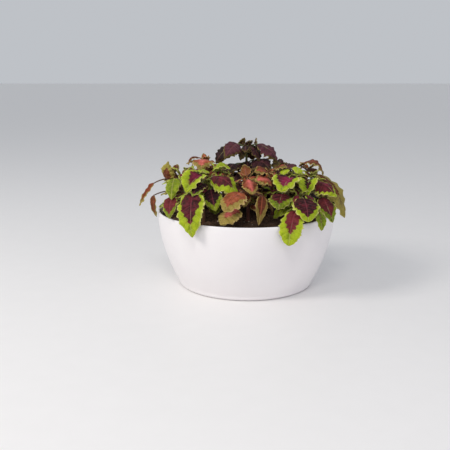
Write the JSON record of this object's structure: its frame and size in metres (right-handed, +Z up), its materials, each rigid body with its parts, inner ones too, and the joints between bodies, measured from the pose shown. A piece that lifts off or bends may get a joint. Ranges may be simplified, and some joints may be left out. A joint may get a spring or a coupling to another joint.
{
  "type": "coleus planting in a bowl",
  "caption": "Mixed coleus planting with toothed two-coloured leaves on square stems, standing in soil in a low round white ceramic bowl with a flat foot.",
  "frame": {"origin": "centre of the bowl's flat foot, on the surface it stands on", "axes": "+Z up, +X to the right seen from the front, +Y to the back"},
  "size_m": [0.3433, 0.313, 0.2481],
  "materials": {
    "glazed_bowl": "smooth satin white glaze",
    "potting_soil": "dark damp crumbly soil",
    "lime_foliage": "soft matt leaf, lime margin and maroon centre",
    "coral_foliage": "soft matt leaf, coral centre and olive margin",
    "dark_foliage": "soft matt leaf, dark purple",
    "bronze_foliage": "soft matt leaf, bronze and olive"
  },
  "bodies": {
    "root": {"bowl": "glazed_bowl", "soil": "potting_soil", "leafy_stem_dark_centre": "dark_foliage", "leafy_stem_lime_left_front": "lime_foliage", "leafy_stem_lime_left": "lime_foliage", "leafy_stem_bronze_left": "bronze_foliage", "leafy_stem_coral_left_back": "coral_foliage", "leafy_stem_lime_centre_left": "lime_foliage", "leafy_stem_coral_centre": "coral_foliage", "leafy_stem_coral_centre_right": "coral_foliage", "leafy_stem_lime_right_centre": "lime_foliage", "leafy_stem_lime_right_front": "lime_foliage", "leafy_stem_lime_right": "lime_foliage", "leafy_stem_bronze_right": "bronze_foliage", "leafy_stem_dark_right": "dark_foliage", "leafy_stem_lime_back_left": "lime_foliage", "leafy_stem_coral_back": "coral_foliage", "leafy_stem_lime_back": "lime_foliage", "leafy_stem_dark_back_right": "dark_foliage"}
  },
  "joints": []
}
